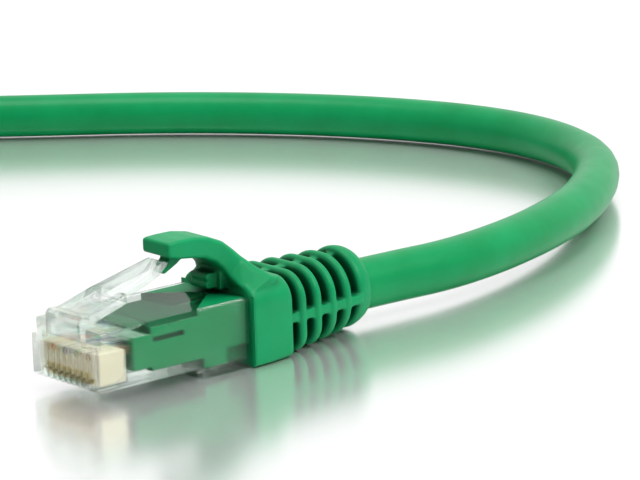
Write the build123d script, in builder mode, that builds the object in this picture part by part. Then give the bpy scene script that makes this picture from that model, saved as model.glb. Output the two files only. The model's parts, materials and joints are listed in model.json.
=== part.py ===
from build123d import *
import math
import os

# Ethernet patch cable, 0.9 m, with the same 8P8C plug and snagless boot at both ends.
# Each end is modelled in its own frame: x runs back from the plug's nose, z = 0 is the surface
# that it lies on, and the latch is on top. All sizes are in millimetres.

# ---- clear plug housing ----
PLUG_WIDTH = 11.68
PLUG_LENGTH = 21.5
NOSE_LIFT = 1.3  # the front underside stands this far above the rear one
STEP_X = 14.4  # where the underside steps down to the rear part
BODY_TOP = 7.9
NOTCH = (0.7, 2.7)  # depth and width of the notch in each upper front corner
NOTCH_Z = 6.1
ROOT_WIDTH = 6.2
ROOT_TOP = 9.3
ROOT_LENGTH = 1.75
WALL = 0.8
BAY_BOTTOM = 2.6  # floor of the load bar's bay
BAY_TOP = 6.4
CAVITY_X = 8.0  # the bay opens here into the taller rear cavity
CAVITY_BOTTOM = 0.9 + NOSE_LIFT
CAVITY_HALF_WIDTH = 5.05
ROOF_TAB = (14.5, 19.7, 0.45)  # where the roof starts to taper, where it ends, half width there
FIT_GAP = 0.1  # between the roof's taper and the boot

# ---- latch ----
LATCH_PIVOT = (1.9, 8.85)
LATCH_KNUCKLE = 0.47
LATCH_WIDTH = 6.2
LATCH_PLATE_END = 6.7
LATCH_PLATE_SLOPE = 16.0
LATCH_PLATE_THICKNESS = 0.95
HANDLE_WIDTH = 3.0
HANDLE_SLOPE = 0.226  # rise of the handle's top face per millimetre
HANDLE_TOP_AT_NOSE = 9.9
HANDLE_TIP_X = 13.6

# ---- contacts, wires and load bar ----
PITCH = 1.02
POSITIONS = 8
BLADE = (0.55, 3.9, 0.3)  # front, rear and thickness
BLADE_BOTTOM = NOSE_LIFT + 0.45
BLADE_SHOULDER = 3.2
BLADE_TOP = 5.0
PRONG_LENGTH = 0.7
SLOT_WIDTH = 0.58
WIRE_Z = 4.9
WIRE_RADIUS = 0.44
CORE_RADIUS = 0.24
CORE_LENGTH = 5.0
WIRE_FRONT = 1.0
BAR = (0.9, 4.4)  # front and rear of the load bar
BAR_WIDTH = 9.9
WIRE_COLOURS = [
    "white_orange",
    "orange",
    "white_green",
    "blue",
    "white_blue",
    "green",
    "white_brown",
    "brown",
]
# Where each wire lies inside the jacket, as (y, z) from the jacket's axis.
PAIR_ROWS = [
    (1.6, -0.95),
    (0.64, -0.95),
    (1.6, 0.95),
    (0.64, 0.95),
    (-0.64, 0.95),
    (-1.6, 0.95),
    (-0.64, -0.95),
    (-1.6, -0.95),
]

# ---- cable and jacket ----
CABLE_DIAMETER = 6.0
JACKET_RADIUS = 2.9
JACKET_BORE = 2.35
JACKET_FRONT = 15.3
JACKET_STRIP = 3.4  # how far the wires reach into the jacket's open end
JACKET_Z_IN_PLUG = 4.2
AXIS_Z = 4.45  # the cable's axis above the surface where it leaves the boot

# ---- boot ----
INSERT_X = 5.6
INSERT_HALF_WIDTH = 5.0
BLOCK_END = 27.5
BLOCK_HALF_WIDTH = 6.45
BLOCK_HEIGHT = (9.5, 9.25)  # at the front and at the rear
RIB_COUNT = 4
RIB_PITCH = 2.35
RIB_WIDTH = 1.3
FIRST_RIB = 28.3
RIB_HALF_WIDTH = (5.95, 5.3)  # of the first rib and of the last
RIB_HEIGHT = (9.25, 9.5)
RIB_TOP_CORNER = (3.3, 4.6)
RIB_FOOT_CORNER = (2.2, 4.2)
BOOT_END = 41.0
COLLAR_START = 37.8
COLLAR_RADIUS = (4.65, 4.75, 4.25)  # at the collar's front, at its fullest and at its end
COLLAR_Z = 4.75  # the collar's centre above the surface
SPINE_RADIUS = 3.8  # the sleeve between the ribs
BRIDGE = (1.2, 5.2)  # width of the bridges between the ribs, and how far they reach sideways
TONGUE_HALF_WIDTH = 1.2
LOBE_RADIUS = 0.48
LOBES = [(19.3, 9.0), (19.3, 9.9)]  # centres of the stop's two lobes
LOBE_LENGTH = 3.2
SIDE_SLOT = ((8.3, 12.6), (5.4, 5.95))  # in the insert's sides, as x and z limits

# ---- tab guard ----
GUARD_PIVOT = (20.8, 12.5)
GUARD_KNUCKLE = 1.15
KNUCKLE_GAP = 0.08
GUARD_NOSE_X = 13.15
GUARD_NOSE_WIDTH = 4.8
LIP = [(14.7, 13.3), (16.6, 12.95), (15.3, 12.1), (13.55, 11.25), (13.05, 11.5)]
LIP_HALF_WIDTH = 0.85

# ---- coil of the rest of the cable, and where the far end lies, in the near end's frame ----
COIL_CENTRE = (17.2, 116.4)
COIL_MEAN_RADIUS = 35.4
TURN_SPACING = 6.2
COIL_ENTRY = 46.0  # angle round the coil where the cable joins its outer turn
TOP_TURN_Z = 8.3
TIE_ANGLE = 110.0  # the three turns lie together from 46 to 180 degrees
TIE_WIDTH = 9.0
TIE_THICKNESS = 0.7
FAR_BOOT_Y = 58.5  # where the far boot's collar ends

RADIUS = CABLE_DIAMETER / 2
MIDDLE = BOOT_END / 2  # the part's origin is under the middle of the near plug and boot
NEAR = Plane(origin=(-MIDDLE, 0, 0))
FAR_X = COIL_CENTRE[0] - COIL_MEAN_RADIUS
FAR = Plane(origin=(FAR_X - MIDDLE, FAR_BOOT_Y - BOOT_END, 0), x_dir=(0, 1, 0))


def wire_y(index):
    """Sideways place of a contact or wire: position 1 is on the +Y side."""
    return (POSITIONS - 1) / 2 * PITCH - index * PITCH


def block(x, y, z, mode=Mode.SUBTRACT):
    """Cut or add a plain block between low and high limits, inside a part's own block."""
    size = [high - low for low, high in (x, y, z)]
    centre = Vector(*[(high + low) / 2 for low, high in (x, y, z)])
    with Locations(centre):
        Box(*size, mode=mode)


def jacket_cylinder(radius, overrun=0.0):
    """The jacket from inside the plug to the boot's end, along its slightly rising axis."""
    front = Vector(JACKET_FRONT, 0, JACKET_Z_IN_PLUG)
    axis = Vector(BOOT_END, 0, AXIS_Z) - front
    with BuildPart() as cylinder:
        with BuildSketch(Plane(origin=front, z_dir=axis)):
            Circle(radius)
        extrude(amount=axis.length + overrun)
    return cylinder.part


def roof_corners(height, half_width, gap):
    """The corners beside the roof's tapered tab, a gap away from it, as far as the block."""
    start, tip, tip_half = ROOF_TAB
    with BuildSketch(Plane.XY.offset(height)) as corners:
        with BuildLine():
            Polyline(
                (start + gap, -half_width),
                (tip + gap, -tip_half),
                (tip + gap, tip_half),
                (start + gap, half_width),
                (PLUG_LENGTH, half_width),
                (PLUG_LENGTH, -half_width),
                close=True,
            )
        make_face()
    return corners.sketch


def plug_housing():
    """One-piece polycarbonate shell: comb, load bar bay, rear cavity, wedge window."""
    half = PLUG_WIDTH / 2
    beside_tab = roof_corners(BODY_TOP - WALL - 0.1, CAVITY_HALF_WIDTH, 0)
    with BuildPart() as housing:
        with BuildSketch(Plane.XZ):
            with BuildLine():
                Polyline(
                    (0, NOSE_LIFT + 0.4),
                    (0.4, NOSE_LIFT),
                    (STEP_X, NOSE_LIFT),
                    (STEP_X, 0),
                    (PLUG_LENGTH, 0),
                    (PLUG_LENGTH, BODY_TOP),
                    (0, BODY_TOP),
                    close=True,
                )
            make_face()
        extrude(amount=half, both=True)
        fillet(housing.edges().filter_by(Axis.X).group_by(Axis.Z)[-1], 0.35)
        for side in (-1, 1):
            with Locations((NOTCH[0] / 2, side * (half - NOTCH[1] / 2), BODY_TOP)):
                Box(NOTCH[0], NOTCH[1], 2 * (BODY_TOP - NOTCH_Z), mode=Mode.SUBTRACT)
        # the latch's root block, hollowed round the living hinge
        with BuildSketch(Plane.XZ):
            with BuildLine():
                Polyline(
                    (0, BODY_TOP - 0.2),
                    (0, ROOT_TOP - 0.4),
                    (0.4, ROOT_TOP),
                    (ROOT_LENGTH, ROOT_TOP),
                    (ROOT_LENGTH + 0.7, BODY_TOP - 0.2),
                    close=True,
                )
            make_face()
            with Locations(LATCH_PIVOT):
                Circle(LATCH_KNUCKLE + 0.06, mode=Mode.SUBTRACT)
            with Locations((LATCH_PIVOT[0] + 1, LATCH_PIVOT[1] + 0.1)):
                Rectangle(2, 1.15, mode=Mode.SUBTRACT)
        extrude(amount=ROOT_WIDTH / 2, both=True)
        # load bar bay, side pockets for the bar's legs, and the rear cavity
        inside = (-CAVITY_HALF_WIDTH, CAVITY_HALF_WIDTH)
        block((WALL, CAVITY_X + 1), inside, (BAY_BOTTOM, BAY_TOP))
        for side in (-1, 1):
            legs = sorted((side * 4.4, side * CAVITY_HALF_WIDTH))
            block((WALL, BAR[1] + 0.1), legs, (1.75, BAY_BOTTOM + 0.1))
        rear = (CAVITY_X, PLUG_LENGTH + 1)
        block(rear, inside, (CAVITY_BOTTOM, BODY_TOP - WALL))
        block((STEP_X + 0.8, PLUG_LENGTH + 1), inside, (0.9, 4))
        # contact slots, open below and in front
        for index in range(POSITIONS):
            y = wire_y(index)
            slot = (y - SLOT_WIDTH / 2, y + SLOT_WIDTH / 2)
            block((-1, BLADE[1] + 0.15), slot, (0, BAY_BOTTOM - 0.1))
            narrow = (y - 0.17, y + 0.17)
            block((0.45, BLADE[1] + 0.1), narrow, (1, BLADE_SHOULDER + 0.05))
        # window in the underside where the crimp wedge is driven in
        block((16.2, 19.8), (-3.5, 3.5), (-1, 1))
        # the roof ends in a tapered tab, and the boot fills the corners beside it
        extrude(beside_tab, amount=2, mode=Mode.SUBTRACT)
    return housing.part


def latch():
    """Latch tab: a wide locking plate and a narrow raised handle, on a round hinge root."""
    px, pz = LATCH_PIVOT
    slope = math.tan(math.radians(LATCH_PLATE_SLOPE))
    thick = LATCH_PLATE_THICKNESS

    def under(x):
        return pz - LATCH_KNUCKLE + (x - px) * slope

    def handle_top(x):
        return HANDLE_TOP_AT_NOSE + HANDLE_SLOPE * x

    with BuildPart() as tab:
        with BuildSketch(Plane.XZ):
            with BuildLine():
                Polyline(
                    (px, under(px)),
                    (LATCH_PLATE_END, under(LATCH_PLATE_END)),
                    (LATCH_PLATE_END, under(LATCH_PLATE_END) + thick),
                    (px, under(px) + thick - 0.02),
                    close=True,
                )
            make_face()
            with Locations(LATCH_PIVOT):
                Circle(LATCH_KNUCKLE)
        extrude(amount=LATCH_WIDTH / 2 - 0.05, both=True)
        with BuildSketch(Plane.XZ):
            with BuildLine():
                start = 4.0
                tip = HANDLE_TIP_X
                Polyline((start, under(start) + 0.3), (start, under(start) + thick))
                Line((start, under(start) + thick), (start + 0.5, handle_top(start + 0.5)))
                Line((start + 0.5, handle_top(start + 0.5)), (tip - 0.4, handle_top(tip - 0.4)))
                Line((tip - 0.4, handle_top(tip - 0.4)), (tip, handle_top(tip) - 0.35))
                Line((tip, handle_top(tip) - 0.35), (tip - 1.2, 11.5))
                ThreePointArc((tip - 1.2, 11.5), (9.9, 10.5), (LATCH_PLATE_END, 9.85))
                Line((LATCH_PLATE_END, 9.85), (start, under(start) + 0.3))
            make_face()
        extrude(amount=HANDLE_WIDTH / 2, both=True)
        fillet(tab.edges().filter_by(Axis.Z).group_by(Axis.X)[-1], 0.3)
    return tab.part


def contacts():
    """Eight gold-plated blades, each with two prongs that pierce its wire."""
    front, rear, thickness = BLADE
    with BuildPart() as blades:
        for index in range(POSITIONS):
            with BuildSketch(Plane.XZ.offset(-wire_y(index))):
                with BuildLine():
                    Polyline(
                        (front, BLADE_BOTTOM + 0.5),
                        (front + 0.5, BLADE_BOTTOM),
                        (rear, BLADE_BOTTOM),
                        (rear, BLADE_SHOULDER),
                        (rear - PRONG_LENGTH, BLADE_SHOULDER),
                        (rear - PRONG_LENGTH, BLADE_TOP),
                        (rear - 2 * PRONG_LENGTH, BLADE_TOP),
                        (rear - 2 * PRONG_LENGTH, BLADE_SHOULDER),
                        (front + 1.1, BLADE_SHOULDER),
                        (front + 1.1, BLADE_TOP),
                        (front + 0.45, BLADE_TOP),
                        (front + 0.45, BLADE_SHOULDER),
                        (front, BLADE_SHOULDER),
                        close=True,
                    )
                make_face()
            extrude(amount=thickness / 2, both=True)
    return blades.part


def load_bar(blades):
    """Ivory bar that holds the eight wires at the contact pitch, with a leg at each side."""
    front, rear = BAR
    with BuildPart() as bar:
        with BuildSketch(Plane.YZ.offset(front)):
            with Locations((0, (BAY_BOTTOM + BAY_TOP - 0.2) / 2)):
                Rectangle(BAR_WIDTH, BAY_TOP - 0.2 - BAY_BOTTOM)
            with Locations((-4.72, 2.3), (4.72, 2.3)):
                Rectangle(0.46, 0.9)
            with Locations(*[(wire_y(i), WIRE_Z) for i in range(POSITIONS)]):
                Circle(WIRE_RADIUS + 0.02, mode=Mode.SUBTRACT)
        extrude(amount=rear - front)
        for index in range(POSITIONS):
            y = wire_y(index)
            slot = (y - 0.17, y + 0.17)
            block((0, BLADE[1] + 0.1), slot, (2, WIRE_Z))
        chamfer(bar.faces().sort_by(Axis.Z)[-1].edges().filter_by(Axis.Y), 0.3)
    return bar.part


def wire(index, blades):
    """One insulated conductor, drilled for its bare core and split by its contact's prongs."""
    y = wire_y(index)
    end_y, end_z = PAIR_ROWS[index]
    end_z += JACKET_Z_IN_PLUG
    fan_y = y + 0.25 * (end_y - y)
    fan_z = WIRE_Z + 0.7 * (end_z - WIRE_Z)
    with BuildPart() as strand:
        with BuildLine():
            FilletPolyline(
                (WIRE_FRONT, y, WIRE_Z),
                (6.0, y, WIRE_Z),
                (9.0, fan_y, fan_z),
                (JACKET_FRONT - 0.6, end_y, end_z),
                (JACKET_FRONT + JACKET_STRIP - 0.2, end_y, end_z),
                radius=1.5,
            )
        with BuildSketch(Plane.YZ.offset(WIRE_FRONT)):
            with Locations((y, WIRE_Z)):
                Circle(WIRE_RADIUS)
        sweep()
        with BuildSketch(Plane.YZ.offset(WIRE_FRONT)):
            with Locations((y, WIRE_Z)):
                Circle(CORE_RADIUS)
        extrude(amount=CORE_LENGTH, mode=Mode.SUBTRACT)
        add(blades, mode=Mode.SUBTRACT)
    return strand.part


def conductor_cores(blades):
    """The eight bare copper ends inside the insulation, split by the prongs."""
    with BuildPart() as cores:
        with BuildSketch(Plane.YZ.offset(WIRE_FRONT)):
            with Locations(*[(wire_y(i), WIRE_Z) for i in range(POSITIONS)]):
                Circle(CORE_RADIUS)
        extrude(amount=CORE_LENGTH)
        for index in range(POSITIONS):
            y = wire_y(index)
            slot = (y - BLADE[2] / 2, y + BLADE[2] / 2)
            block((0.9, 1.66), slot, (4, BLADE_TOP))
            block((2.5, 3.2), slot, (4, BLADE_TOP))
    return cores.part


def jacket_end():
    """The end of the cable's jacket inside the boot, stripped where the wires come out."""
    whole = jacket_cylinder(JACKET_RADIUS)
    with BuildPart() as jacket:
        add(whole)
        with BuildSketch(Plane.YZ.offset(JACKET_FRONT)):
            with Locations((0, JACKET_Z_IN_PLUG)):
                Circle(JACKET_BORE)
        extrude(amount=JACKET_STRIP, mode=Mode.SUBTRACT)
    return jacket.part


def pair_separator():
    """Cross-shaped filler that keeps the four pairs apart."""
    with BuildPart() as cross:
        with BuildSketch(Plane.YZ.offset(JACKET_FRONT - 1.2)):
            with Locations((0, JACKET_Z_IN_PLUG)):
                Rectangle(0.3, 3.7)
                Rectangle(4.2, 0.6)
        extrude(amount=JACKET_STRIP + 1.0)
    return cross.part


def crimp_wedge():
    """Wedge of the housing that is driven up against the jacket when the plug is crimped."""
    with BuildPart() as wedge:
        with BuildSketch(Plane.XZ):
            with BuildLine():
                Polyline((16.4, 0.25), (19.6, 0.25), (19.6, 0.75), (18.6, 1.25), (16.9, 1.25), close=True)
            make_face()
        extrude(amount=3.3, both=True)
    return wedge.part


def arch():
    """The tab guard's arch, whole, from its nose to where it grows out of the boot's block."""
    nose = GUARD_NOSE_X
    with BuildPart() as whole:
        with BuildSketch(Plane.XZ):
            with BuildLine():
                Spline(
                    (nose, 13.4), (14.6, 13.0), (16.8, 12.72), (18.3, 12.42), (19.75, 11.65),
                    (20.6, 10.85), (21.2, 9.8), (22.0, 8.7),
                )
                Line((22.0, 8.7), (26.8, 8.7))
                Line((26.8, 8.7), (26.8, 9.35))
                Spline(
                    (26.8, 9.35), (25.9, 9.7), (25.0, 10.3), (24.1, 11.2), (23.1, 12.2),
                    (21.9, 13.25), (20.5, 14.15), (18.4, 14.9), (16, 15.15), (nose, 15.05),
                )
                Line((nose, 15.05), (nose, 13.4))
            make_face()
        extrude(amount=BLOCK_HALF_WIDTH, both=True)
        nose_half = GUARD_NOSE_WIDTH / 2
        with BuildSketch(Plane.XY.offset(8)):
            with BuildLine():
                for side in (1, -1):
                    Spline(
                        (nose - 1, side * nose_half), (17.0, side * (nose_half + 0.1)),
                        (20.2, side * 2.8), (21.6, side * 4.0), (22.6, side * 5.8),
                    )
                    Spline((22.6, side * 5.8), (24.8, side * 4.8), (26.7, side * 2.0))
                Line((nose - 1, nose_half), (nose - 1, -nose_half))
                Line((26.7, 2.0), (26.7, -2.0))
            make_face()
        extrude(amount=8, mode=Mode.INTERSECT)
    return whole.part


def behind_pivot(angle):
    """Everything on the block's side of the guard's hinge, above a ray at the given angle."""
    px, pz = GUARD_PIVOT
    up = math.radians(45)
    down = math.radians(angle)
    with BuildPart() as region:
        with BuildSketch(Plane.XZ):
            with BuildLine():
                Polyline(
                    (px, pz),
                    (px + 20 * math.cos(up), pz + 20 * math.sin(up)),
                    (px + 20, pz - 25),
                    (px + 20 * math.cos(down), pz + 20 * math.sin(down)),
                    close=True,
                )
            make_face()
        extrude(amount=20, both=True)
    return region.part


def knuckle(radius):
    """The round stretch of the arch about the guard's hinge axis."""
    with BuildPart() as pin:
        with BuildSketch(Plane.XZ):
            with Locations(GUARD_PIVOT):
                Circle(radius)
        extrude(amount=BLOCK_HALF_WIDTH, both=True)
    return pin.part


def boot_guard():
    """The half of the arch that flexes: nose over the latch's tip and a lip behind the tip."""
    whole = arch()
    fixed = behind_pivot(202)
    socket = knuckle(GUARD_KNUCKLE + KNUCKLE_GAP)
    with BuildPart() as guard:
        add(whole)
        add(fixed, mode=Mode.SUBTRACT)
        add(socket, mode=Mode.SUBTRACT)
        with BuildSketch(Plane.XZ):
            with BuildLine():
                Polyline(*LIP, close=True)
            make_face()
        extrude(amount=LIP_HALF_WIDTH, both=True)
        fillet(guard.edges().filter_by(Axis.Y).group_by(Axis.X)[0], 0.3)
    return guard.part


def arched_section(plane, half_width, height, top_corner, foot_corner):
    """A rectangle that stands on z = 0, rounded more at its top than at its foot."""
    with BuildSketch(plane) as section:
        with Locations((0, height / 2)):
            Rectangle(2 * half_width, height)
        fillet(section.vertices().group_by(Axis.Y)[-1], top_corner)
        fillet(section.vertices().group_by(Axis.Y)[0], foot_corner)
    return section.sketch


def rib(index):
    """One rib of the strain relief; the ribs grow rounder towards the collar."""
    share = index / (RIB_COUNT - 1)
    sizes = [
        first + share * (last - first)
        for first, last in (RIB_HALF_WIDTH, RIB_HEIGHT, RIB_TOP_CORNER, RIB_FOOT_CORNER)
    ]
    outline = arched_section(Plane.YZ.offset(FIRST_RIB + index * RIB_PITCH), *sizes)
    with BuildPart() as ring:
        extrude(outline, amount=RIB_WIDTH)
        fillet(ring.edges().group_by(Axis.X)[0] + ring.edges().group_by(Axis.X)[-1], 0.35)
    return ring.part


def collar():
    """Barrel-shaped end of the boot."""
    front, full, rear = COLLAR_RADIUS
    with BuildPart() as barrel:
        with BuildSketch(Plane.XZ):
            with BuildLine():
                Line((BOOT_END, COLLAR_Z), (COLLAR_START, COLLAR_Z))
                Line((COLLAR_START, COLLAR_Z), (COLLAR_START, COLLAR_Z + front))
                ThreePointArc(
                    (COLLAR_START, COLLAR_Z + front),
                    (COLLAR_START + 1.3, COLLAR_Z + full),
                    (BOOT_END, COLLAR_Z + rear),
                )
                Line((BOOT_END, COLLAR_Z + rear), (BOOT_END, COLLAR_Z))
            make_face()
        revolve(axis=Axis((0, 0, COLLAR_Z), (1, 0, 0)))
    return barrel.part


def boot():
    """Moulded boot: insert in the plug, block, ribbed strain relief, collar, guard's root."""
    whole = arch()
    root = whole.intersect(behind_pivot(225))
    hinge = whole.intersect(knuckle(GUARD_KNUCKLE))
    jacket = jacket_cylinder(JACKET_RADIUS, 1.0)
    front, rear = BLOCK_HEIGHT
    block_front = arched_section(Plane.YZ.offset(PLUG_LENGTH), BLOCK_HALF_WIDTH, front, 1.0, 0.4)
    block_rear = arched_section(
        Plane.YZ.offset(BLOCK_END), BLOCK_HALF_WIDTH - 0.35, rear, 2.7, 0.8
    )
    ribs = [rib(index) for index in range(RIB_COUNT)]
    end = collar()
    beside_tab = roof_corners(BODY_TOP - WALL, INSERT_HALF_WIDTH, FIT_GAP)
    with BuildPart() as body:
        # insert inside the plug's rear cavity, and its foot over the crimp window
        block((INSERT_X, CAVITY_X), (-5, 5), (BAY_BOTTOM + 0.05, BAY_TOP - 0.05), mode=Mode.ADD)
        with BuildSketch(Plane.YZ.offset(CAVITY_X)):
            with Locations((0, (CAVITY_BOTTOM + BODY_TOP - WALL) / 2)):
                Rectangle(2 * INSERT_HALF_WIDTH, BODY_TOP - WALL - CAVITY_BOTTOM)
        extrude(amount=PLUG_LENGTH - CAVITY_X)
        block((STEP_X + 0.85, PLUG_LENGTH), (-5, 5), (1.0, CAVITY_BOTTOM), mode=Mode.ADD)
        extrude(beside_tab, amount=WALL - 0.05)
        # block, sleeve, ribs, collar, and the bridges between the ribs
        loft([block_front, block_rear])
        with BuildSketch(Plane.YZ.offset(BLOCK_END - 0.5)):
            with Locations((0, AXIS_Z)):
                Circle(SPINE_RADIUS)
                Rectangle(2 * BRIDGE[1], BRIDGE[0])
                Rectangle(BRIDGE[0], 2 * AXIS_Z - 0.5)
        extrude(amount=COLLAR_START + 1 - BLOCK_END)
        for ring in ribs:
            add(ring)
        add(end)
        # two-lobed stop under the arch
        with BuildSketch(Plane.XZ):
            with Locations(*LOBES):
                Circle(LOBE_RADIUS)
            with Locations(*[(x + LOBE_LENGTH / 2, z) for x, z in LOBES]):
                Rectangle(LOBE_LENGTH, 2 * LOBE_RADIUS)
        extrude(amount=TONGUE_HALF_WIDTH, both=True)
        # root of the guard's arch, with the knuckle it flexes on
        add(root)
        add(hinge)
        # passages for the wires and for the jacket, and the slot and windows at the sides
        block((INSERT_X - 1, 12.5), (-4.2, 4.2), (2.8, 5.9))
        block((12.4, JACKET_FRONT), (-2.9, 2.9), (2.3, 6.6))
        block((16, 20), (-3.5, 3.5), (0.5, 1.5))
        for side in (-1, 1):
            slot = sorted((side * 4.5, side * 5.1))
            block(SIDE_SLOT[0], slot, SIDE_SLOT[1])
            window = sorted((side * 4.2, side * 5.1))
            block((18.5, PLUG_LENGTH), window, (0.9, 2.7))
        add(jacket, mode=Mode.SUBTRACT)
    return body.part


# ---- the cable's route, in the part's frame: control points chosen by hand ----
LEAD_ROUTE = [
    (20.5, 0.0, AXIS_Z),
    (27.1, 0.0, 4.4),
    (35.2, -0.4, 4.3),
    (45.6, 1.5, 4.2),
    (56.9, 5.4, 4.05),
    (68.2, 11.1, 3.8),
    (78.4, 18.5, 3.6),
    (87.1, 26.9, 3.3),
    (92.7, 36.6, 3.1),
    (95.3, 47.1, 3.0),
    (94.6, 58.0, 3.0),
    (91.0, 69.1, 3.0),
    (85.5, 80.0, 3.0),
    (77.5, 91.5, 3.0),
    (68.0, 102.0, 3.0),
    (55.5, 112.9, 3.0),
    (39.5, 128.7, 3.0),
]
COIL_X = COIL_CENTRE[0] - MIDDLE
COIL_Y = COIL_CENTRE[1]
OUTER_TURN = COIL_MEAN_RADIUS + TURN_SPACING / 2
TAIL_ROUTE = [
    (COIL_X - COIL_MEAN_RADIUS, COIL_Y, TOP_TURN_Z + 0.3),
    (COIL_X - COIL_MEAN_RADIUS - 0.2, 106.4, 9.6),
    (COIL_X - COIL_MEAN_RADIUS + 0.1, 96.2, 9.3),
    (COIL_X - COIL_MEAN_RADIUS - 0.3, 86.0, 7.4),
    (COIL_X - COIL_MEAN_RADIUS + 0.2, 76.5, 5.4),
    (COIL_X - COIL_MEAN_RADIUS, 67.3, 4.6),
    (COIL_X - COIL_MEAN_RADIUS, FAR_BOOT_Y, AXIS_Z),
]


def tube(route, name):
    """The cable along straight runs joined by tangent arcs, as large as each pair allows."""
    points = [Vector(*p) for p in route]
    radii = []
    for before, here, after in zip(points, points[1:], points[2:]):
        run = min((here - before).length, (after - here).length)
        turn = math.radians((here - before).get_angle(after - here))
        radii.append(0.45 * run / math.tan(turn / 2))
    print(name, "radii", [round(r) for r in radii])
    with BuildPart() as cable:
        with BuildLine() as path:
            FilletPolyline(*route, radius=radii)
        start = path.line @ 0
        with BuildSketch(Plane(origin=start, z_dir=path.line % 0)):
            Circle(RADIUS)
        sweep()
    length = path.wires()[0].length
    section = math.pi * RADIUS**2
    print(name, "length", round(length, 1), "volume share", cable.part.volume / section / length)
    return cable.part, length


def coil():
    """Outer shape of the put-away turns: two lie on the surface and one lies on both."""
    low = OUTER_TURN + RADIUS
    inner = COIL_MEAN_RADIUS - TURN_SPACING / 2 - RADIUS
    top = TOP_TURN_Z + RADIUS
    with BuildPart() as ring:
        with BuildSketch(Plane.XZ):
            with BuildLine():
                Polyline(
                    (inner + 1, 0),
                    (low - 1, 0),
                    (low, 1),
                    (low, 4.6),
                    (COIL_MEAN_RADIUS + 2.2, top),
                    (COIL_MEAN_RADIUS - 2.2, top),
                    (inner, 4.6),
                    (inner, 1),
                    close=True,
                )
            make_face()
        revolve(axis=Axis.Z)
    return Pos(COIL_X, COIL_Y, 0) * ring.part


def coil_tie():
    """Hook-and-loop strap round the three turns, flat underneath."""
    reach = TURN_SPACING / 2 + RADIUS + TIE_THICKNESS
    height = TOP_TURN_Z + RADIUS + TIE_THICKNESS
    direction = math.radians(TIE_ANGLE)
    centre = (
        COIL_X + COIL_MEAN_RADIUS * math.cos(direction),
        COIL_Y + COIL_MEAN_RADIUS * math.sin(direction),
        0,
    )
    outward = (math.cos(direction), math.sin(direction), 0)
    section = Plane(origin=centre, x_dir=outward, z_dir=(outward[1], -outward[0], 0))
    with BuildPart() as strap:
        with BuildSketch(section):
            with BuildLine():
                Polyline(
                    (-reach, 0),
                    (reach, 0),
                    (reach, 5),
                    (2.9, height),
                    (-2.9, height),
                    (-reach, 5),
                    close=True,
                )
            make_face()
            offset(amount=-TIE_THICKNESS, mode=Mode.SUBTRACT)
        extrude(amount=TIE_WIDTH / 2, both=True)
    return strap.part


def write(shape, name):
    shape.label = name
    export_step(shape, f"parts/{name}.step")


def write_end(place, letter):
    """Make one plug and boot, and write each piece where the plane puts it."""
    blades = contacts()
    pieces = {
        "plug_housing": plug_housing(),
        "plug_latch": latch(),
        "contacts": blades,
        "load_bar": load_bar(blades),
        "conductor_cores": conductor_cores(blades),
        "jacket_end": jacket_end(),
        "pair_separator": pair_separator(),
        "crimp_wedge": crimp_wedge(),
        "boot": boot(),
        "boot_guard": boot_guard(),
    }
    for index, colour in enumerate(WIRE_COLOURS):
        pieces[f"wire_{index + 1}_{colour}"] = wire(index, blades)
    for name, shape in pieces.items():
        write(place.location * shape, f"{name}_{letter}")


os.makedirs("parts", exist_ok=True)
write_end(NEAR, "a")
write_end(FAR, "b")

entry = math.radians(COIL_ENTRY)
coil_start = (
    COIL_X + OUTER_TURN * math.cos(entry),
    COIL_Y + OUTER_TURN * math.sin(entry),
    RADIUS,
)
lead, lead_length = tube(LEAD_ROUTE + [coil_start], "cable_lead")
tail, tail_length = tube(TAIL_ROUTE, "cable_tail")
write(lead, "cable_lead")
write(tail, "cable_tail")
write(coil(), "cable_coil")
write(coil_tie(), "coil_tie")

inner_turn = COIL_MEAN_RADIUS - TURN_SPACING / 2
last_arc = (180 - COIL_ENTRY) / 360
coiled = 2 * math.pi * (OUTER_TURN + inner_turn + last_arc * COIL_MEAN_RADIUS)
print("cable between the boots", round(lead_length + coiled + tail_length, 1))
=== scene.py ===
import json
import math

import bmesh
import bpy
from mathutils import Matrix, Vector


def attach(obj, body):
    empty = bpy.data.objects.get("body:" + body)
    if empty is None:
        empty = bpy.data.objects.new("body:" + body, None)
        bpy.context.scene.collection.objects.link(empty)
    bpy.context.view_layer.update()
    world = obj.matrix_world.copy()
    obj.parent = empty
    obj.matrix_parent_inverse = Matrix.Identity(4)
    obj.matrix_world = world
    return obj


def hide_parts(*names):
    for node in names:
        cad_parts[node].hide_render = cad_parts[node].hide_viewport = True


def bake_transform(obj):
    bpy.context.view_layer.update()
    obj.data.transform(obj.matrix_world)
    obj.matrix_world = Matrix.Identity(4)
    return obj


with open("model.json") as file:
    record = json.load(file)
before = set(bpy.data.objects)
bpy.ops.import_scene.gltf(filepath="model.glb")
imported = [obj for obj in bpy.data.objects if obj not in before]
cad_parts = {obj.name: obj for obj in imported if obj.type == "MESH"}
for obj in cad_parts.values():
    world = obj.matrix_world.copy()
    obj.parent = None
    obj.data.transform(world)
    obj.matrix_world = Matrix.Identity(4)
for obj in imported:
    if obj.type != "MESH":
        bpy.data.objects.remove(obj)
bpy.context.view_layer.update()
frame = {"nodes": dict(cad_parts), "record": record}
nodes = frame["nodes"]

MM = 0.001
ROOT = "cable_and_plugs"

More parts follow.
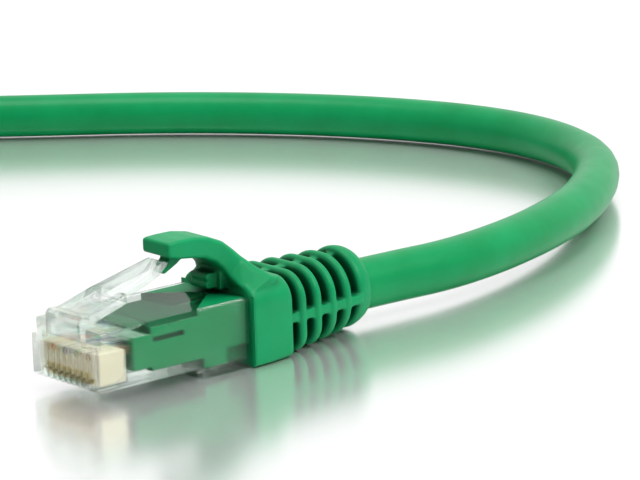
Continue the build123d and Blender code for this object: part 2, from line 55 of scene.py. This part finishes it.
# ---- the two ends: each has its own frame, x back from the plug's nose, z up from the surface ----
MIDDLE = 20.5  # the part's origin lies this far behind the near plug's nose
COIL_X = -3.3
COIL_Y = 116.4
COIL_MEAN_RADIUS = 35.4
TURN_SPACING = 6.2
TAIL_X = COIL_X - COIL_MEAN_RADIUS  # the tail and the far end lie along this line
FAR_BOOT_Y = 58.5  # where the far boot's collar ends
BOOT_END = 41.0
ENDS = {
    "a": Matrix.Translation((-MIDDLE * MM, 0, 0)),
    "b": Matrix.Translation((TAIL_X * MM, (FAR_BOOT_Y - BOOT_END) * MM, 0))
    @ Matrix.Rotation(math.pi / 2, 4, "Z"),
}
# The bodies of the guard and the latch at each end; the clear latch is attached to its body, the
# guard's name is not used.
BODY_OF = {"a": ("near_guard", "near_latch"), "b": ("far_guard", "far_latch")}

# ---- cable: lengths in mm, angles round the coil in degrees ----
CABLE_DIAMETER = 6.0
RADIUS = CABLE_DIAMETER / 2
AXIS_Z = 4.45  # the cable's height where it leaves a boot
COIL_ENTRY = 46.0
COIL_EXIT = 180.0 + 2 * 360.0
OUTER_TURN = COIL_MEAN_RADIUS + TURN_SPACING / 2
MOVE_INWARD = (340, 405)  # from the outer turn to the inner one
CLIMB = (620, 690)  # from the inner turn on to the top of both
CENTRE_ON_BOTH = (650, 720)
CROSSING_ANGLE = 735  # where the top turn passes over the coil's start
CROSSING_SPREAD = 40
CROSSING_LIFT = 0.7
TOP_TURN_Z = 8.3
TIE_ANGLE = 110.0
TIE_WIDTH = 9.0
TIE_THICKNESS = 0.7
TIE_LIFT = 0.9  # how far the strap holds the turns off the surface
TIE_LIFT_SPREAD = 30
LEAD_ROUTE = [
    (20.5, 0.0, AXIS_Z),
    (27.1, 0.0, 4.4),
    (35.2, -0.4, 4.3),
    (45.6, 1.5, 4.2),
    (56.9, 5.4, 4.05),
    (68.2, 11.1, 3.8),
    (78.4, 18.5, 3.6),
    (87.1, 26.9, 3.3),
    (92.7, 36.6, 3.1),
    (95.3, 47.1, 3.0),
    (94.6, 58.0, 3.0),
    (91.0, 69.1, 3.0),
    (85.5, 80.0, 3.0),
    (77.5, 91.5, 3.0),
    (68.0, 102.0, 3.0),
    (55.5, 112.9, 3.0),
    (39.5, 128.7, 3.0),
]
TAIL_ROUTE = [
    (TAIL_X - 0.2, 106.4, 9.6),
    (TAIL_X + 0.1, 96.2, 9.3),
    (TAIL_X - 0.3, 86.0, 7.4),
    (TAIL_X + 0.2, 76.5, 5.4),
    (TAIL_X, 67.3, 4.6),
    (TAIL_X, FAR_BOOT_Y, AXIS_Z),
]


def smooth(value, low, high):
    """0 below low, 1 above high, and an even ease between."""
    share = min(1.0, max(0.0, (value - low) / (high - low)))
    return share * share * (3 - 2 * share)


def coil_points(step=20.0):
    """The coil's turns: an outer one and an inner one on the surface, then one on both."""
    points = []
    count = round((COIL_EXIT - COIL_ENTRY) / step)
    grow = 1 / math.cos(math.radians(step / 2))  # control points lie outside the curve they draw
    for index in range(count + 1):
        angle = COIL_ENTRY + (COIL_EXIT - COIL_ENTRY) * index / count
        inward = smooth(angle, *MOVE_INWARD)
        rise = smooth(angle, *CLIMB)
        settle = smooth(angle, *CENTRE_ON_BOTH)
        radius = OUTER_TURN - inward * TURN_SPACING + settle * TURN_SPACING / 2
        over = math.exp(-(((angle - CROSSING_ANGLE) / CROSSING_SPREAD) ** 2))
        from_tie = (angle - TIE_ANGLE + 180) % 360 - 180
        lift = TIE_LIFT * math.exp(-((from_tie / TIE_LIFT_SPREAD) ** 2))
        height = RADIUS + rise * (TOP_TURN_Z - RADIUS) + CROSSING_LIFT * over + lift
        turn = math.radians(angle)
        radius *= grow
        points.append((COIL_X + radius * math.cos(turn), COIL_Y + radius * math.sin(turn), height))
    return points


# ---- materials ----
DIMMED = 0.85  # the darker of a metal's two tones, as a share of the lighter one
INSULATION_DIMMED = 0.88
GLOSS_SPREAD = 0.06  # how far a moulding's roughness goes either way


def new_material(name):
    material = bpy.data.materials.new(name)
    material.use_nodes = True
    tree = material.node_tree
    shader = tree.nodes["Principled BSDF"]
    return material, tree, shader


def noise(tree, scale, detail=3.0, roughness=0.5):
    """Noise in the object's own coordinates."""
    coords = tree.nodes.new("ShaderNodeTexCoord")
    texture = tree.nodes.new("ShaderNodeTexNoise")
    texture.inputs["Scale"].default_value = scale
    texture.inputs["Detail"].default_value = detail
    texture.inputs["Roughness"].default_value = roughness
    tree.links.new(coords.outputs["Object"], texture.inputs["Vector"])
    return texture.outputs["Fac"]


def two_tones(tree, source, dark, light):
    """A colour that drifts between two tones with the source."""
    node = tree.nodes.new("ShaderNodeValToRGB")
    for element, place, colour in zip(node.color_ramp.elements, (0.3, 0.7), (dark, light)):
        element.position = place
        element.color = (*colour, 1)
    tree.links.new(source, node.inputs["Fac"])
    return node.outputs["Color"]


def uneven_gloss(tree, shader, source, low, high):
    """Roughness between two limits, following the source."""
    gloss = tree.nodes.new("ShaderNodeMapRange")
    gloss.inputs["To Min"].default_value = low
    gloss.inputs["To Max"].default_value = high
    tree.links.new(source, gloss.inputs["Value"])
    tree.links.new(gloss.outputs["Result"], shader.inputs["Roughness"])


def bump(tree, shader, source, strength, distance):
    node = tree.nodes.new("ShaderNodeBump")
    node.inputs["Strength"].default_value = strength
    node.inputs["Distance"].default_value = distance
    tree.links.new(source, node.inputs["Height"])
    tree.links.new(node.outputs["Normal"], shader.inputs["Normal"])


def moulded(name, dark, light, roughness, shine=0.5, shade_reach=0.0):
    """Moulded or extruded plastic: faint clouding, fine grain, uneven gloss and, where a shade reach
    is given, painted shade: the colour darkened by ambient occlusion in grooves and tight corners."""
    material, tree, shader = new_material(name)
    cloud = noise(tree, scale=140, detail=4, roughness=0.55)
    colour = two_tones(tree, cloud, dark, light)
    # Painted shade: ambient occlusion within the given reach darkens the colour in grooves and tight
    # corners.
    if shade_reach:
        occlusion_shade = tree.nodes.new("ShaderNodeAmbientOcclusion")
        occlusion_shade.inputs["Distance"].default_value = shade_reach
        occlusion_shade.only_local = True
        tree.links.new(colour, occlusion_shade.inputs["Color"])
        colour = occlusion_shade.outputs["Color"]
    tree.links.new(colour, shader.inputs["Base Color"])
    patches = noise(tree, scale=400)
    uneven_gloss(tree, shader, patches, roughness - GLOSS_SPREAD, roughness + GLOSS_SPREAD)
    shader.inputs["Specular IOR Level"].default_value = shine
    grain = noise(tree, scale=900, roughness=0.6)
    bump(tree, shader, grain, strength=0.35, distance=0.00002)
    return material


def clear_plastic():
    """Clear polycarbonate: see-through, glossy, with the faint waves of a small moulding."""
    material, tree, shader = new_material("clear_polycarbonate")
    shader.inputs["Base Color"].default_value = (0.86, 1.0, 0.92, 1)
    shader.inputs["Transmission Weight"].default_value = 1.0
    shader.inputs["IOR"].default_value = 1.43
    shader.inputs["Alpha"].default_value = 0.5
    uneven_gloss(tree, shader, noise(tree, scale=500), 0.03, 0.12)
    bump(tree, shader, noise(tree, scale=220), strength=0.25, distance=0.00006)
    return material


MATERIALS = {
    "clear_plastic": clear_plastic(),
    "green_jacket": moulded(
        "green_jacket", (0.0, 0.2, 0.056), (0.001, 0.245, 0.076), 0.34, shine=0.15
    ),
    # The boot's colour carries painted shade in the grooves between its ribs and under its arch.
    "green_boot": moulded(
        "green_boot", (0.0, 0.205, 0.066), (0.001, 0.25, 0.088), 0.42, shine=0.14, shade_reach=0.004
    ),
    "ivory_plastic": moulded("ivory_plastic", (0.73, 0.61, 0.46), (0.83, 0.71, 0.56), 0.4),
    "white_plastic": moulded("white_plastic", (0.7, 0.72, 0.7), (0.8, 0.82, 0.8), 0.5),
    "black_fabric": moulded("black_fabric", (0.012, 0.012, 0.014), (0.03, 0.03, 0.034), 0.9),
}


def metal(name, colour, roughness):
    """Bare or plated metal in two close tones."""
    material, tree, shader = new_material(name)
    shader.inputs["Metallic"].default_value = 1.0
    dim = tuple(DIMMED * value for value in colour)
    tones = two_tones(tree, noise(tree, scale=600), dim, colour)
    tree.links.new(tones, shader.inputs["Base Color"])
    shader.inputs["Roughness"].default_value = roughness
    return material


MATERIALS["gold_plate"] = metal("gold_plate", (0.9, 0.66, 0.28), 0.22)
MATERIALS["copper"] = metal("copper", (0.75, 0.38, 0.22), 0.3)
INSULATION = {
    "white_orange": (0.80, 0.55, 0.36),
    "orange": (0.76, 0.24, 0.05),
    "white_green": (0.55, 0.74, 0.56),
    "blue": (0.04, 0.12, 0.46),
    "white_blue": (0.5, 0.6, 0.78),
    "green": (0.02, 0.3, 0.1),
    "white_brown": (0.6, 0.48, 0.38),
    "brown": (0.2, 0.09, 0.04),
}
for wire, tone in INSULATION.items():
    dim_tone = tuple(INSULATION_DIMMED * value for value in tone)
    MATERIALS[f"insulation_{wire}"] = moulded(f"insulation_{wire}", dim_tone, tone, 0.35)


def paint_frame():
    """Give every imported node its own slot's material."""
    slots = {part["node"]: part["material_slot"] for part in frame["record"]["subparts"]}
    for name, node in nodes.items():
        node.data.materials.clear()
        node.data.materials.append(MATERIALS[slots[name]])


# ---- mesh tools: everything here is in millimetres in an end's own frame ----
MERGE_DISTANCE = 0.0005
FLAT_ANGLE = 1  # faces that meet at less than this are one face, in degrees
SHARP_ANGLE = 28  # edges that turn by more than this are rounded over, in degrees


def rounded(half_width, bottom, top, top_corner, foot_corner, steps=10):
    """Points (y, z) round a rectangle whose upper and lower corners have their own radii."""
    points = []
    corners = [
        (half_width - top_corner, top - top_corner, 0, top_corner),
        (top_corner - half_width, top - top_corner, 90, top_corner),
        (foot_corner - half_width, bottom + foot_corner, 180, foot_corner),
        (half_width - foot_corner, bottom + foot_corner, 270, foot_corner),
    ]
    for y, z, first, radius in corners:
        for step in range(steps + 1):
            angle = math.radians(first + 90 * step / steps)
            points.append((y + radius * math.cos(angle), z + radius * math.sin(angle)))
    return points


def loft(shape, loops):
    """Add a closed skin through loops that all have the same number of points."""
    rings = [[shape.verts.new(point) for point in loop] for loop in loops]
    count = len(rings[0])
    for near, far in zip(rings, rings[1:]):
        for index in range(count):
            after = (index + 1) % count
            shape.faces.new((near[index], near[after], far[after], far[index]))
    shape.faces.new(reversed(rings[0]))
    shape.faces.new(rings[-1])


def across(x, outline):
    """An outline of (y, z) points, stood across the boot at x."""
    return [(x, y, z) for y, z in outline]


def prism(shape, profile, half_width):
    """Add a profile of (x, z) points, drawn out to both sides."""
    loft(shape, [[(x, y, z) for x, z in profile] for y in (-half_width, half_width)])


def bar(shape, x, y, z):
    """Add a straight bar between low and high limits, with one more loop at its middle."""
    loops = []
    for place in (x[0], (x[0] + x[1]) / 2, x[1]):
        loops.append([(place, y[i], z[j]) for i, j in ((0, 0), (1, 0), (1, 1), (0, 1))])
    loft(shape, loops)


def disc(x, centre, radius, steps=56):
    """A circle across the boot at x, its centre at a height."""
    turns = [2 * math.pi * step / steps for step in range(steps)]
    return [(x, radius * math.cos(t), centre + radius * math.sin(t)) for t in turns]


def to_object(shape, name):
    """An object made of a finished mesh under construction, with its faces turned outwards."""
    bmesh.ops.recalc_face_normals(shape, faces=shape.faces)
    mesh = bpy.data.meshes.new(name)
    shape.to_mesh(mesh)
    shape.free()
    thing = bpy.data.objects.new(name, mesh)
    bpy.context.scene.collection.objects.link(thing)
    return thing


def apply_modifiers(thing):
    """Leave the finished mesh on the object, with no modifiers."""
    depsgraph = bpy.context.evaluated_depsgraph_get()
    mesh = bpy.data.meshes.new_from_object(thing.evaluated_get(depsgraph))
    thing.modifiers.clear()
    thing.data = mesh
    for face in mesh.polygons:
        face.use_smooth = True


def from_node(name, end):
    """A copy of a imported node's mesh, in its end's own frame in millimetres."""
    mesh = nodes[name].data.copy()
    mesh.transform(Matrix.Scale(1 / MM, 4) @ ENDS[end].inverted() @ nodes[name].matrix_world)
    shape = bmesh.new()
    shape.from_mesh(mesh)
    bmesh.ops.remove_doubles(shape, verts=shape.verts, dist=MERGE_DISTANCE)
    return shape


def place_at(thing, end, name):
    """A copy of a finished piece where the end's frame puts it."""
    mesh = thing.data.copy()
    mesh.transform(ENDS[end] @ Matrix.Scale(MM, 4))
    copy = bpy.data.objects.new(name, mesh)
    bpy.context.scene.collection.objects.link(copy)
    return copy


# ---- boot, with its insert and tab guard, as one soft moulding ----
RIB_COUNT = 4
RIB_PITCH = 2.41
RIB_WIDTH = 1.26
FIRST_RIB = 29.2
RIB_ROUNDING = 0.62  # how far a rib's sides fall below its crest
SLEEVE_START = 27.0  # inside the block
SLEEVE_CENTRE = 4.6
SLEEVE_RADIUS = 3.4
SPINE_END = 38.8  # inside the collar
SPINE_LOW, SPINE_HIGH = 3.75, 4.85
SPINE_HALF_WIDTH = 0.55
VOXEL = 0.16  # the grid on which the boot's parts are fused
INSERT_BACK = 21.6  # the insert goes on into the block as far as this
INSERT_TOP = 8.15
INSERT_EDGE = 0.07
PLUG_EDGE = 0.12  # how far the clear moulding's edges are rounded over
BAR_TOP = 5.35  # the wire holder's channels are open above this
BAR_EDGE = 0.04


def add_block(shape):
    """Each size is x, half width, top, upper corner radius and lower corner radius."""
    sizes = [
        (21.45, 6.25, 9.2, 2.8, 0.4),
        (21.7, 6.45, 9.4, 2.7, 0.4),
        (24.0, 6.4, 9.4, 2.5, 0.5),
        (26.9, 6.15, 9.25, 2.6, 0.8),
        (27.35, 6.05, 9.15, 2.7, 0.9),
        (27.5, 5.85, 9.0, 2.7, 1.0),
    ]
    loft(shape, [across(x, rounded(w, 0.0, top, rt, rf)) for x, w, top, rt, rf in sizes])


def add_ribs(shape):
    """Ribs that get rounder, narrower and a little taller towards the cable."""
    for index in range(RIB_COUNT):
        share = index / (RIB_COUNT - 1)
        half = 5.95 - 0.65 * share
        top = 9.25 + 0.25 * share
        top_corner = 3.3 + 1.3 * share
        foot_corner = 2.2 + 2.0 * share
        centre = FIRST_RIB + index * RIB_PITCH
        loops = []
        for step in range(-6, 7):
            angle = math.radians(15 * step)
            inset = RIB_ROUNDING * (1 - math.cos(angle))
            outline = rounded(
                half - inset, 0.03 + inset, top - inset, top_corner - inset, foot_corner - inset
            )
            loops.append(across(centre + RIB_WIDTH / 2 * math.sin(angle), outline))
        loft(shape, loops)


def add_sleeve(shape):
    """The tube that carries the ribs, and the four spines that join them."""
    stations = (SLEEVE_START, 30.0, 33.0, 36.0, 39.0)
    loft(shape, [disc(x, SLEEVE_CENTRE, SLEEVE_RADIUS) for x in stations])
    for side in (-1, 1):
        loops = []
        for x, reach in ((SLEEVE_START, 5.8), (SPINE_END, 5.0)):
            low, high = sorted((side * 3.2, side * reach))
            loops.append([
                (x, low, SPINE_LOW), (x, high, SPINE_LOW), (x, high, SPINE_HIGH), (x, low, SPINE_HIGH)
            ])
        loft(shape, loops)
    for limits in ((0.35, 1.4), (7.8, 8.95)):
        bar(shape, (SLEEVE_START, SPINE_END), (-SPINE_HALF_WIDTH, SPINE_HALF_WIDTH), limits)


def add_collar(shape):
    """The rounded end ring; each entry is x, the centre's height and the radius."""
    profile = [
        (38.3, 4.85, 4.3), (38.42, 4.85, 4.62), (38.7, 4.85, 4.8), (39.2, 4.85, 4.83),
        (39.8, 4.88, 4.68), (40.35, 4.84, 4.42), (40.75, 4.74, 4.14), (40.95, 4.6, 3.86),
        (41.0, 4.45, 3.6),
    ]
    loft(shape, [disc(x, centre, radius) for x, centre, radius in profile])


def add_guard(shape):
    """The arch, with the lip under its nose. Each station is a lower and an upper point (x, z), a
    half width, a corner radius and how far the sides droop."""
    stations = [
        (13.03, 13.5, 13.03, 14.9, 2.25, 0.2, 0.0),
        (13.3, 13.36, 13.3, 15.05, 2.4, 0.3, 0.0),
        (14.6, 13.0, 14.7, 15.13, 2.42, 0.35, 0.0),
        (16.8, 12.72, 16.9, 15.1, 2.46, 0.4, 0.0),
        (18.3, 12.42, 19.0, 14.75, 2.52, 0.5, 0.05),
        (19.65, 11.75, 20.9, 13.95, 2.6, 0.65, 0.1),
        (20.5, 10.95, 22.2, 12.95, 2.75, 0.8, 0.15),
        (21.05, 10.1, 23.3, 11.95, 3.1, 0.9, 0.25),
        (21.6, 9.3, 24.4, 10.95, 4.4, 0.9, 0.5),
        (22.1, 8.5, 25.5, 10.05, 5.8, 0.9, 0.6),
        (23.2, 7.8, 26.6, 9.5, 5.6, 0.8, 0.4),
        (24.5, 7.3, 27.2, 9.2, 3.0, 0.8, 0.2),
    ]
    loops = []
    for x0, z0, x1, z1, half, corner, droop in stations:
        height = math.hypot(x1 - x0, z1 - z0)
        along = ((x1 - x0) / height, (z1 - z0) / height)
        loop = []
        for y, h in rounded(half, 0.0, height, corner, min(corner, 0.5)):
            h -= droop * (y / half) ** 2
            loop.append((x0 + along[0] * h, y, z0 + along[1] * h))
        loops.append(loop)
    loft(shape, loops)
    lip = [(14.7, 13.3), (16.6, 12.95), (15.3, 12.1), (13.55, 11.25), (13.05, 11.5)]
    prism(shape, lip, half_width=0.9)


def add_tongue(shape):
    """Two round-nosed lobes, one on the other, that stick out under the arch, and their root."""
    radius, nose, back = 0.48, 19.3, 22.5
    for z in (9.0, 9.9):
        profile = []
        for step in range(9):
            angle = math.radians(90 + 22.5 * step)
            profile.append((nose + radius * math.cos(angle), z + radius * math.sin(angle)))
        profile += [(back, z - radius), (back, z + radius)]
        prism(shape, profile, half_width=1.45)
    bar(shape, (20.3, back), (-2.1, 2.1), (8.35, 10.5))


def cut_off(shape, point, normal):
    """Remove what lies beyond a plane and close the cut."""
    geometry = shape.verts[:] + shape.edges[:] + shape.faces[:]
    cut = bmesh.ops.bisect_plane(
        shape, geom=geometry, plane_co=point, plane_no=normal, clear_outer=True
    )
    edges = [item for item in cut["geom_cut"] if isinstance(item, bmesh.types.BMEdge)]
    bmesh.ops.triangle_fill(shape, edges=edges, use_beauty=True)


def round_edges(piece, width):
    """Round the sharp edges over and leave a finished mesh."""
    bevel = piece.modifiers.new("edges", "BEVEL")
    bevel.width = width
    bevel.segments = 3
    bevel.limit_method = "ANGLE"
    bevel.angle_limit = math.radians(SHARP_ANGLE)
    apply_modifiers(piece)


def merge_flat_faces(shape):
    """Turn triangles that lie in one plane into one face."""
    bmesh.ops.dissolve_limit(
        shape, angle_limit=math.radians(FLAT_ANGLE), verts=shape.verts, edges=shape.edges
    )


def make_insert():
    """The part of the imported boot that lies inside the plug, with its edges rounded."""
    shape = from_node("boot_a", "a")
    cut_off(shape, (INSERT_BACK, 0, 0), (1, 0, 0))
    cut_off(shape, (0, 0, INSERT_TOP), (0, 0, 1))
    merge_flat_faces(shape)
    insert = to_object(shape, "insert_master")
    round_edges(insert, INSERT_EDGE)
    return insert


def make_boot():
    """Block, ribs, collar and arch fused into one skin, joined to the insert."""
    shape = bmesh.new()
    add_block(shape)
    add_ribs(shape)
    add_sleeve(shape)
    add_collar(shape)
    add_guard(shape)
    add_tongue(shape)
    boot = to_object(shape, "boot_master")
    remesh = boot.modifiers.new("fuse", "REMESH")
    remesh.mode = "VOXEL"
    remesh.voxel_size = VOXEL
    soften = boot.modifiers.new("soften", "SMOOTH")
    soften.factor = 0.5
    soften.iterations = 2
    apply_modifiers(boot)
    insert = make_insert()
    both = bmesh.new()
    both.from_mesh(boot.data)
    both.from_mesh(insert.data)
    both.to_mesh(boot.data)
    both.free()
    bpy.data.objects.remove(insert)
    return boot


def bevelled(node, end, width, name):
    """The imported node's shape with its sharp edges rounded over."""
    shape = from_node(node, end)
    merge_flat_faces(shape)
    piece = to_object(shape, name)
    round_edges(piece, width)
    return piece


def make_load_bar():
    """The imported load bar, open along the tops of its wire channels."""
    shape = from_node("load_bar_a", "a")
    cut_off(shape, (0, 0, BAR_TOP), (0, 0, 1))
    bar_piece = to_object(shape, "bar_master")
    round_edges(bar_piece, BAR_EDGE)
    return bar_piece


def show(master, end, name, material, body, *replaced):
    """A rigid piece at an end: its material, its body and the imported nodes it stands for."""
    piece = place_at(master, end, name)
    piece.data.materials.clear()
    piece.data.materials.append(MATERIALS[material])
    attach(piece, body)
    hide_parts(*replaced)
    return piece


def make_ends():
    """The soft and clear shells of both ends; returns the ones on the far end."""
    boot = make_boot()
    housing = bevelled("plug_housing_a", "a", PLUG_EDGE, "housing_master")
    latch = bevelled("plug_latch_a", "a", PLUG_EDGE, "latch_master")
    load_bar = make_load_bar()
    far = []
    for end in ENDS:
        guard_body, latch_body = BODY_OF[end]
        name = f"soft_boot_{end}"
        piece = place_at(boot, end, name)
        piece.data.materials.clear()
        piece.data.materials.append(MATERIALS["green_boot"])
        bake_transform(piece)
        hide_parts(f"boot_{end}", f"boot_guard_{end}")
        shell = show(
            housing, end, f"clear_housing_{end}", "clear_plastic", ROOT, f"plug_housing_{end}"
        )
        tab = show(
            latch, end, f"clear_latch_{end}", "clear_plastic", latch_body, f"plug_latch_{end}"
        )
        holder = show(load_bar, end, f"wire_holder_{end}", "ivory_plastic", ROOT, f"load_bar_{end}")
        if end == "b":
            far = [piece, shell, tab, holder]
    for master in (boot, housing, latch, load_bar):
        bpy.data.objects.remove(master)
    return far


# ---- the cable, one smooth line from boot to boot ----
def make_cable():
    """The jacket as one curve through the lead's route, the coil's turns and the tail's route."""
    curve = bpy.data.curves.new("cable", "CURVE")
    curve.dimensions = "3D"
    curve.bevel_depth = RADIUS * MM
    curve.bevel_resolution = 8
    curve.resolution_u = 8
    route = LEAD_ROUTE + coil_points() + TAIL_ROUTE
    spline = curve.splines.new("NURBS")
    spline.points.add(len(route) - 1)
    for point, place in zip(spline.points, route):
        point.co = (*(MM * value for value in place), 1)
    spline.order_u = 3
    spline.use_endpoint_u = True
    cable = bpy.data.objects.new("cable", curve)
    bpy.context.scene.collection.objects.link(cable)
    curve.materials.append(MATERIALS["green_jacket"])
    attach(cable, ROOT)
    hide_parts("cable_lead", "cable_tail", "cable_coil")
    return cable


STRAP_TURNS = 1.32
STRAP_START = 12  # the wrap's first angle round the bundle, in degrees
STRAP_OVERLAP = (0.93, 1.0)  # the part of the first turn over which the strap moves outside itself
STRAP_CLEARANCE = 0.06  # off the cable
STRAP_LAYER_GAP = 0.05  # between the strap's own layers
STRAP_EDGE = 0.16
STRAP_STEPS = 150
LEAST_HEIGHT = 0.03  # the strap is pressed flat where it touches the surface


def make_strap():
    """Hook-and-loop strap wound once and a third round the three turns, its end outside."""
    lift = 0.92 * TIE_LIFT  # the cable's curve stays a little inside its control points
    half_spacing = TURN_SPACING / 2
    centres = [
        (half_spacing, RADIUS + lift), (-half_spacing, RADIUS + lift), (0.0, TOP_TURN_Z + lift)
    ]
    turn = math.radians(TIE_ANGLE)
    outward = Vector((math.cos(turn), math.sin(turn), 0))
    along = Vector((-math.sin(turn), math.cos(turn), 0))
    middle = Vector((COIL_X, COIL_Y, 0)) + COIL_MEAN_RADIUS * outward

    def point(angle, reach, side):
        """A point on the strap: off the turn that lies furthest out at this angle."""
        toward = (math.cos(angle), math.sin(angle))
        centre = max(centres, key=lambda c: c[0] * toward[0] + c[1] * toward[1])
        out = centre[0] + reach * toward[0]
        up = max(LEAST_HEIGHT, centre[1] + reach * toward[1])
        return middle + out * outward + side * along + Vector((0, 0, up))

    half = TIE_WIDTH / 2
    edge = STRAP_EDGE
    loops = []
    for step in range(STRAP_STEPS + 1):
        share = STRAP_TURNS * step / STRAP_STEPS
        angle = math.radians(STRAP_START + 360 * share)
        outside = smooth(share, *STRAP_OVERLAP)
        inner = RADIUS + STRAP_CLEARANCE + (TIE_THICKNESS + STRAP_LAYER_GAP) * outside
        outer = inner + TIE_THICKNESS
        loops.append([
            point(angle, inner, edge - half), point(angle, inner, half - edge),
            point(angle, inner + edge, half), point(angle, outer - edge, half),
            point(angle, outer, half - edge), point(angle, outer, edge - half),
            point(angle, outer - edge, -half), point(angle, inner + edge, -half),
        ])
    shape = bmesh.new()
    loft(shape, loops)
    bmesh.ops.scale(shape, vec=(MM, MM, MM), verts=shape.verts)
    strap = to_object(shape, "hook_and_loop_strap")
    strap.data.materials.append(MATERIALS["black_fabric"])
    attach(strap, ROOT)
    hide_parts("coil_tie")
    return strap


# ---- floor, lights and camera ----
FLOOR_HALF = 6.0
FLOOR_Z = -0.0001  # just under the part, so that the two don't flicker where they touch
BRIGHT_SIDE = (0.62, 0.62, 0.48)  # the side of the studio with the brightest wall
DIM_LEVEL = 0.4
BRIGHT_LEVEL = 1.02
CAMERA_PLACE = (-0.22966, -0.31708, 0.11278)  # metres, in the near end's frame
CAMERA_RIGHT = (0.7603, -0.6488, -0.0307)
CAMERA_UP = (0.178, 0.1627, 0.9704)
CAMERA_BACK = (-0.6246, -0.7434, 0.2392)
SENSOR_WIDTH = 36
LENS = 209.94


def make_stage():
    """A glossy white table top."""
    floor_mesh = bpy.data.meshes.new("floor")
    corners = [(-1, -1), (1, -1), (1, 1), (-1, 1)]
    floor_mesh.from_pydata(
        [(FLOOR_HALF * x, FLOOR_HALF * y, 0) for x, y in corners], [], [(0, 1, 2, 3)]
    )
    floor = bpy.data.objects.new("floor", floor_mesh)
    bpy.context.scene.collection.objects.link(floor)
    floor.location.z = FLOOR_Z
    material, _, shader = new_material("floor")
    shader.inputs["Base Color"].default_value = (0.95, 0.95, 0.95, 1)
    shader.inputs["Metallic"].default_value = 0.8
    shader.inputs["Roughness"].default_value = 0.2
    floor_mesh.materials.append(material)


def area_light(name, place, target, size, power):
    """A white softbox at a place, turned towards a target."""
    data = bpy.data.lights.new(name, "AREA")
    data.shape = "RECTANGLE"
    data.size, data.size_y = size
    data.energy = power
    light = bpy.data.objects.new(name, data)
    light.location = place
    light.rotation_euler = (Vector(target) - Vector(place)).to_track_quat("-Z", "Y").to_euler()
    bpy.context.scene.collection.objects.link(light)


def make_lights():
    """A white studio that brightens smoothly towards one side, and two softboxes."""
    world = bpy.data.worlds.new("studio")
    bpy.context.scene.world = world
    world.use_nodes = True
    tree = world.node_tree
    background = tree.nodes["Background"]
    background.inputs["Color"].default_value = (1, 1, 1, 1)
    coords = tree.nodes.new("ShaderNodeTexCoord")
    toward = tree.nodes.new("ShaderNodeVectorMath")
    toward.operation = "DOT_PRODUCT"
    toward.inputs[1].default_value = BRIGHT_SIDE
    tree.links.new(coords.outputs["Generated"], toward.inputs[0])
    level = tree.nodes.new("ShaderNodeMapRange")
    level.inputs["From Min"].default_value = -1.0
    level.inputs["To Min"].default_value = DIM_LEVEL
    level.inputs["To Max"].default_value = BRIGHT_LEVEL
    tree.links.new(toward.outputs["Value"], level.inputs["Value"])
    tree.links.new(level.outputs["Result"], background.inputs["Strength"])
    area_light("overhead", (0.05, 0.1, 0.8), (0.02, 0.03, 0), size=(0.5, 0.4), power=3.5)
    area_light("side", (0.22, -0.5, 0.62), (0, 0, 0), size=(0.3, 0.3), power=4.6)


def make_camera():
    """A long lens, low in front of the near plug and to its side."""
    data = bpy.data.cameras.new("camera")
    data.sensor_width = SENSOR_WIDTH
    data.lens = LENS
    data.clip_start = 0.01
    camera = bpy.data.objects.new("camera", data)
    turn = Matrix((CAMERA_RIGHT, CAMERA_UP, CAMERA_BACK)).transposed().to_4x4()
    camera.matrix_world = ENDS["a"] @ Matrix.Translation(CAMERA_PLACE) @ turn
    bpy.context.scene.collection.objects.link(camera)
    bpy.context.scene.camera = camera


make_camera()
make_lights()
make_stage()
bpy.context.scene.view_settings.view_transform = "Standard"
paint_frame()
cable = make_cable()
strap = make_strap()
far_shells = make_ends()
